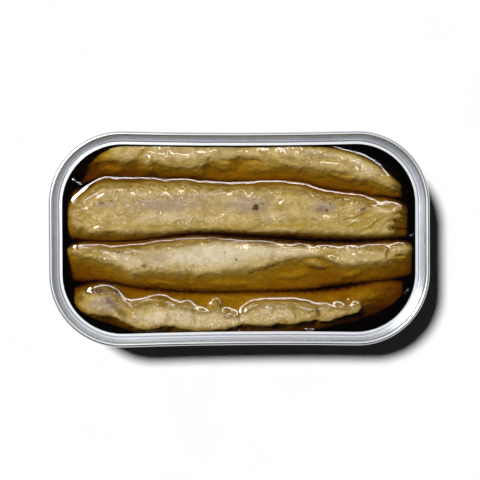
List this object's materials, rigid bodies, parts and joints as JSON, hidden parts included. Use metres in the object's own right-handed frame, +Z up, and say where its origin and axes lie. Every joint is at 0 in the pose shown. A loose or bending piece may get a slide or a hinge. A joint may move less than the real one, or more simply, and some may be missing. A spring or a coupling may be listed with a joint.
{
  "type": "opened tin of mackerel fillets",
  "caption": "Opened flat tin with rounded corners and a torn-off ring-pull lid, holding mackerel fillets side by side in oil.",
  "frame": {"origin": "middle of the tin's outline, on the flat ring that it stands on", "axes": "+X along the tin and its fillets, +Y across it, +Z up out of the open side"},
  "size_m": [0.105, 0.0592, 0.024],
  "materials": {
    "tin_metal": "bright rolled sheet",
    "fish_flesh": "moist and flaky",
    "fish_oil": "clear brown-gold oil"
  },
  "bodies": {
    "root": {"can_body": "tin_metal", "lid_ring": "tin_metal", "fillet_1": "fish_flesh", "fillet_2": "fish_flesh", "fillet_3": "fish_flesh", "fillet_4": "fish_flesh", "oil": "fish_oil"}
  },
  "joints": []
}
